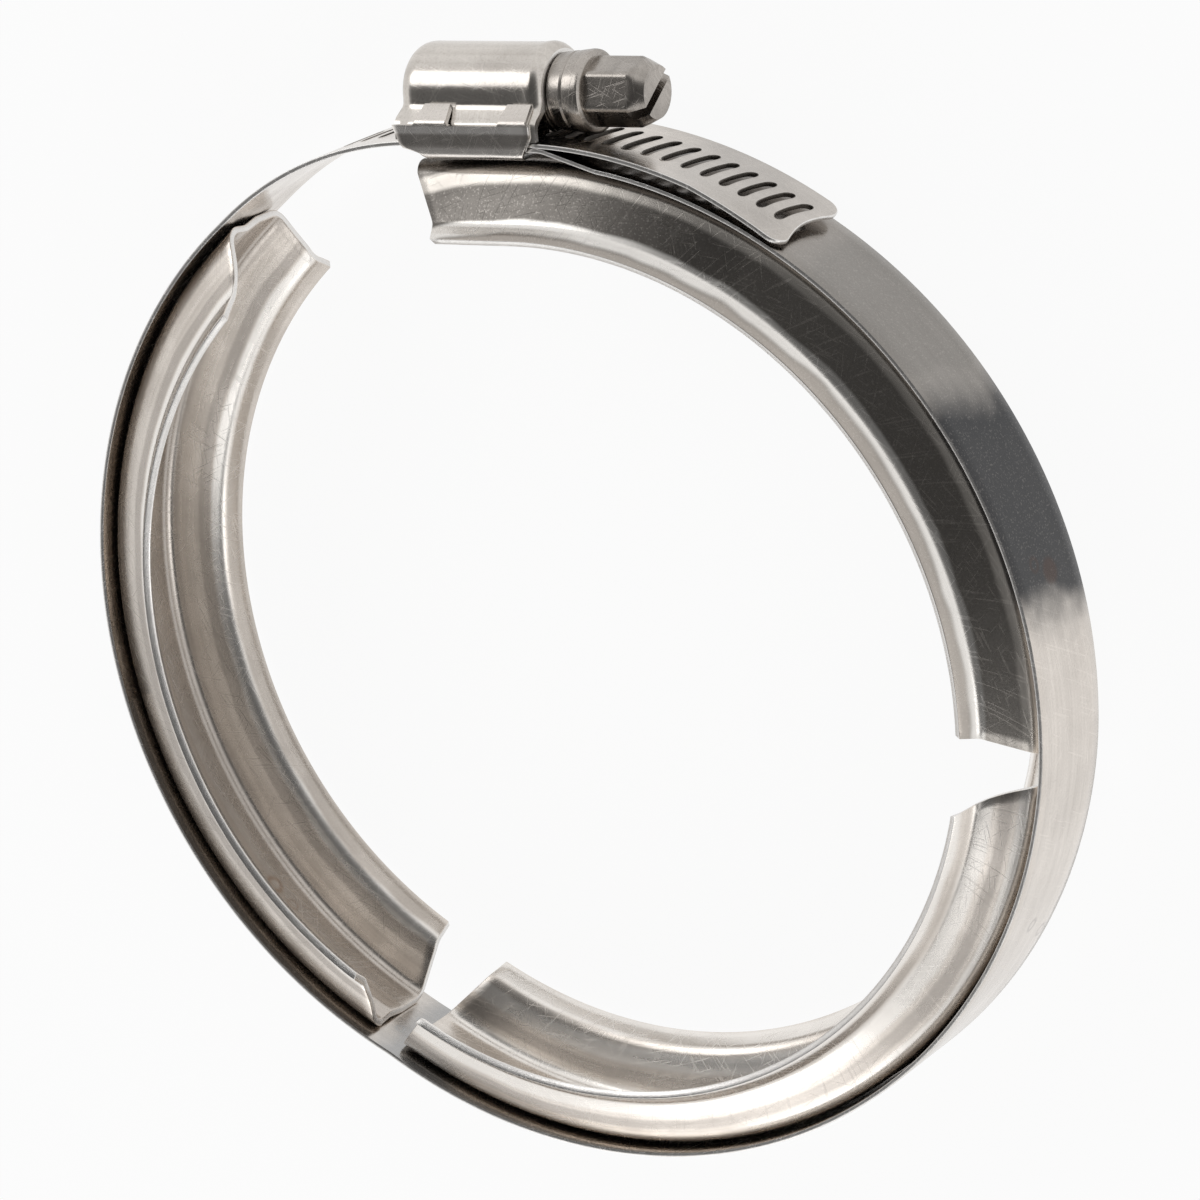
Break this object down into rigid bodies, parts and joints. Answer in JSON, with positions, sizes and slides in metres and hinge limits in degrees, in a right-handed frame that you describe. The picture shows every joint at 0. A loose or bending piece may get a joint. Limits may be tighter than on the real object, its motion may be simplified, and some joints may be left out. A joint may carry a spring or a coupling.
{
  "type": "split flange clamp",
  "caption": "Split ring clamp: a slotted strap carries three V-section retainers that wedge two pipe flanges together, drawn tight by a hexagon-headed worm screw in a pressed housing",
  "frame": {"origin": "on the ring axis of the upper right retainer's arc, at the middle of the strap width", "axes": "+Z along the ring axis towards the side shown in the picture, +Y towards the screw housing, +X along the screw towards its head (6.9 degrees off)"},
  "size_m": [0.1416, 0.1475, 0.023],
  "materials": {
    "strap_steel": "smooth cold-rolled stainless strip with hazy scratches",
    "retainer_steel": "satin roll-formed stainless sheet with rolling lines along the arc",
    "housing_steel": "bright pressed stainless",
    "saddle_steel": "bright to matt pressed stainless",
    "screw_steel": "dull cold-forged stainless with worn corners"
  },
  "bodies": {
    "body": {"housing": "housing_steel", "saddle": "saddle_steel", "retainer_a": "retainer_steel"},
    "segment_c": {"retainer_c": "retainer_steel"},
    "segment_b": {"retainer_b": "retainer_steel"},
    "strap": {"band": "strap_steel"},
    "screw": {"worm_screw": "screw_steel"}
  },
  "joints": [
    {"name": "screw_turn", "type": "hinge", "parent": "body", "child": "screw", "pos_m": [-0.009, 0.07436, 0], "axis": [-0.9928, -0.1201, 0], "range_deg": [-360, 1080]},
    {"name": "gap_right", "type": "hinge", "parent": "body", "child": "segment_c", "pos_m": [0.06749, -0.00118, 0], "axis": [0, 0, 1], "range_deg": [-2.46, 0.83]},
    {"name": "gap_low", "type": "hinge", "parent": "segment_c", "child": "segment_b", "pos_m": [-0.02848, -0.06003, 0], "axis": [0, 0, 1], "range_deg": [-2.23, 0.76]},
    {"name": "strap_bend", "type": "hinge", "parent": "segment_b", "child": "strap", "pos_m": [-0.045, 0.06, 0], "axis": [0, 0, 1], "range_deg": [-2.28, 0.77], "deforming": ["band"]}
  ],
  "couplings": [
    {"joint": "gap_right", "follows": "screw_turn", "ratio": -0.0022605},
    {"joint": "gap_low", "follows": "screw_turn", "ratio": -0.0020485},
    {"joint": "strap_bend", "follows": "screw_turn", "ratio": -0.0020938}
  ]
}
